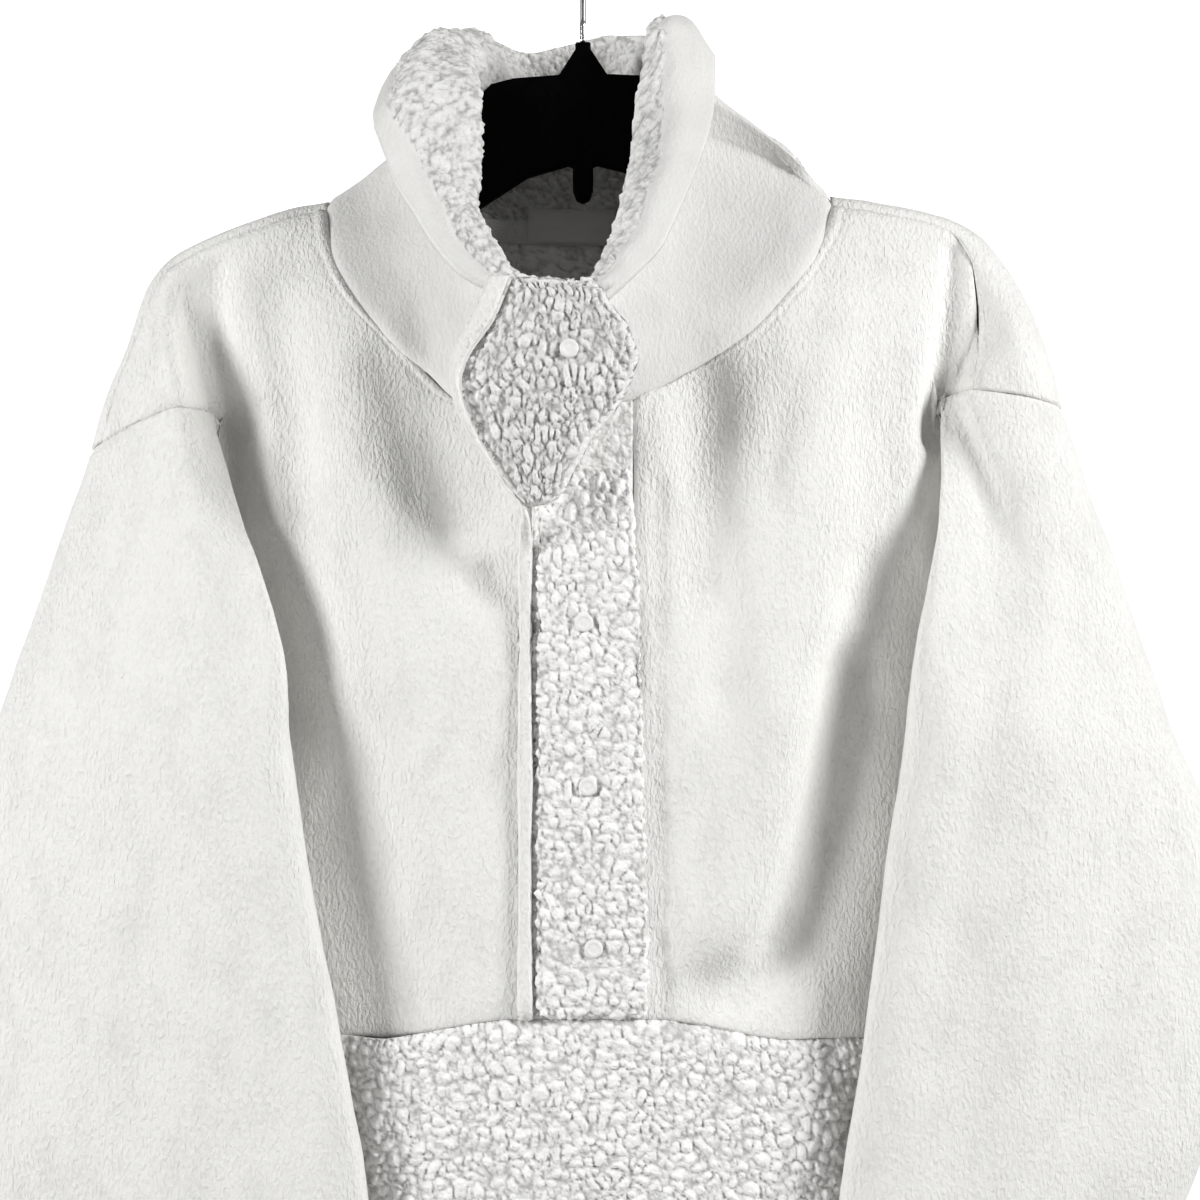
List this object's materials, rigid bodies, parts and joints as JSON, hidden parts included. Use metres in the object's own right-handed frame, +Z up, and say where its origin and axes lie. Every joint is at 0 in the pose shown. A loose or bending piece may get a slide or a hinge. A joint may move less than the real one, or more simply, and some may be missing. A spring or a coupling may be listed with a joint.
{
  "type": "sherpa fleece pullover on a hanger",
  "caption": "Boxy half-placket pullover of bonded fleece with its sherpa face turned out on the lower panel, placket and rolled funnel collar, hanging on a moulded hanger with a wire hook",
  "frame": {"origin": "where the hanger's hook bears on the rail, at the inner top of the hook", "axes": "+X towards the viewer's right, which is the wearer's left side, the front of the garment towards -Y, +Z up"},
  "size_m": [0.6731, 0.1596, 0.8652],
  "materials": {
    "fleece": "short matt nap",
    "sherpa": "curled pile",
    "hanger_plastic": "satin black",
    "hook_wire": "bright plated wire",
    "snap_resin": "satin off-white",
    "label_cloth": "flat woven"
  },
  "bodies": {
    "root": {"back_yoke": "fleece", "front_yoke_right": "fleece", "front_yoke_left": "fleece", "sleeve_right": "fleece", "sleeve_left": "fleece", "collar": "fleece", "placket_binding": "fleece", "front_lower": "sherpa", "back_lower": "sherpa", "placket_under": "sherpa", "placket_over": "sherpa", "collar_tab": "sherpa", "neck_tape": "label_cloth", "label": "label_cloth", "snap_cap_1": "snap_resin", "snap_cap_2": "snap_resin", "snap_cap_3": "snap_resin", "snap_cap_4": "snap_resin", "hanger_body": "hanger_plastic", "hanger_hook": "hook_wire"}
  },
  "joints": []
}
